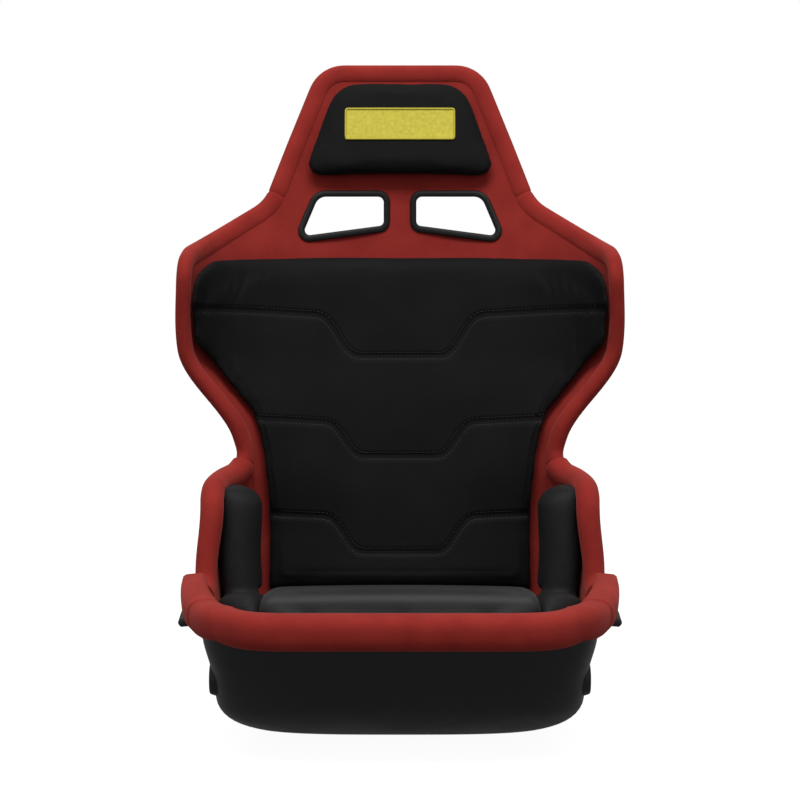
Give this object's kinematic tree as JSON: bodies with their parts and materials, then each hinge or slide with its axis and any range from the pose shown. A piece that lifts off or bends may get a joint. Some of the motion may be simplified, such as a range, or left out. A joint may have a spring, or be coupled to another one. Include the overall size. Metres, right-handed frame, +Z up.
{
  "type": "racing bucket seat",
  "caption": "Fixed-back racing bucket seat: moulded shell with flocked lining, padded rim rolls, removable foam cushions, belt slots with bezels and threaded side mounts.",
  "frame": {"origin": "on the shell's flat underside, on the seat's middle plane, 66 mm behind the start of the front's upward curve", "axes": "+Z up, the seat faces -Y, +X to the right seen from the front"},
  "size_m": [0.6102, 0.6365, 0.8718],
  "materials": {
    "shell_gelcoat": "black gel-coated glass-fibre laminate",
    "insert_steel": "zinc-plated",
    "flock": "red flocked felt",
    "bezel_plastic": "moulded black, satin",
    "roll_velour": "red velour over foam",
    "edge_rubber": "black extruded, matte",
    "cushion_knit": "black knitted cover over foam",
    "patch_weave": "yellow woven, stitched border, blank",
    "base_foam": "dense closed-cell foam",
    "hook_strip": "hook-and-loop tape"
  },
  "bodies": {
    "root": {"shell": "shell_gelcoat", "mount_inserts": "insert_steel", "back_lining": "flock", "hip_lining_left": "flock", "hip_lining_right": "flock", "shoulder_bezel_left": "bezel_plastic", "shoulder_bezel_right": "bezel_plastic", "shoulder_bezel_ring_left": "bezel_plastic", "shoulder_bezel_ring_right": "bezel_plastic", "lap_bezel_left": "bezel_plastic", "lap_bezel_right": "bezel_plastic", "lap_bezel_ring_left": "bezel_plastic", "lap_bezel_ring_right": "bezel_plastic", "front_roll": "roll_velour", "thigh_roll_left": "roll_velour", "thigh_roll_right": "roll_velour", "wing_roll_left": "roll_velour", "wing_roll_right": "roll_velour", "back_roll_left": "roll_velour", "back_roll_right": "roll_velour", "head_roll": "roll_velour", "edge_moulding_left": "edge_rubber", "edge_moulding_right": "edge_rubber", "back_cushion": "cushion_knit", "headrest_pad": "cushion_knit", "side_pad_left": "cushion_knit", "side_pad_right": "cushion_knit", "seat_cushion": "cushion_knit", "headrest_patch": "patch_weave", "seat_base_foam": "base_foam", "back_cushion_strips": "hook_strip", "headrest_strip": "hook_strip", "side_pad_strip_left": "hook_strip", "side_pad_strip_right": "hook_strip", "seat_cushion_strips": "hook_strip"}
  },
  "joints": []
}
